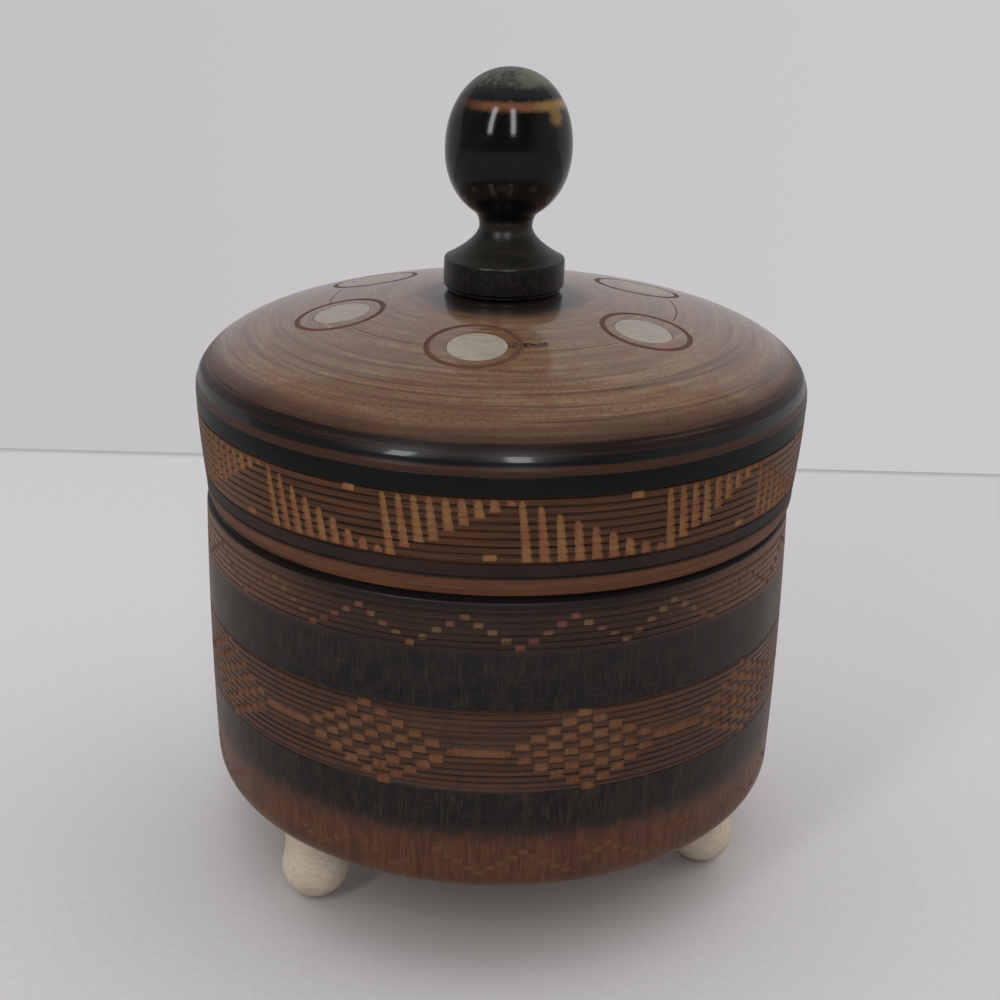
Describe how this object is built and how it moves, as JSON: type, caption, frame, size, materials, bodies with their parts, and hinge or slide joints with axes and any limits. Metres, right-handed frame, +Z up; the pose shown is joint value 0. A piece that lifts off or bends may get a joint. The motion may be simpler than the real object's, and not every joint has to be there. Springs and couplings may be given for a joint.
{
  "type": "carved trinket box",
  "caption": "Round turned and carved wooden trinket box with a domed lift-off lid, an egg-shaped knob, bone inlays and rounded bone feet.",
  "frame": {"origin": "on the ground, on the axis of the box", "axes": "+Z up along the axis of the box, -Y to the front, +X to the right"},
  "size_m": [0.1, 0.1, 0.1336],
  "materials": {
    "dark_wood": "dark stained hardwood, scored and carved, satin",
    "brown_wood": "brown hardwood, turned and polished",
    "black_wood": "black stained hardwood, high polish",
    "pale_bone": null,
    "cream_bone": null
  },
  "bodies": {
    "box": {"body": "dark_wood", "foot_left": "cream_bone", "foot_right": "cream_bone", "foot_back": "cream_bone"},
    "cover": {"lid": "brown_wood", "knob": "black_wood", "inlay_1": "pale_bone", "inlay_2": "pale_bone", "inlay_3": "pale_bone", "inlay_4": "pale_bone", "inlay_5": "pale_bone", "inlay_6": "pale_bone"}
  },
  "joints": [
    {"name": "lid_lift", "type": "slide", "parent": "box", "child": "cover", "axis": [0, 0, 1], "range_m": [0, 0.06]}
  ]
}
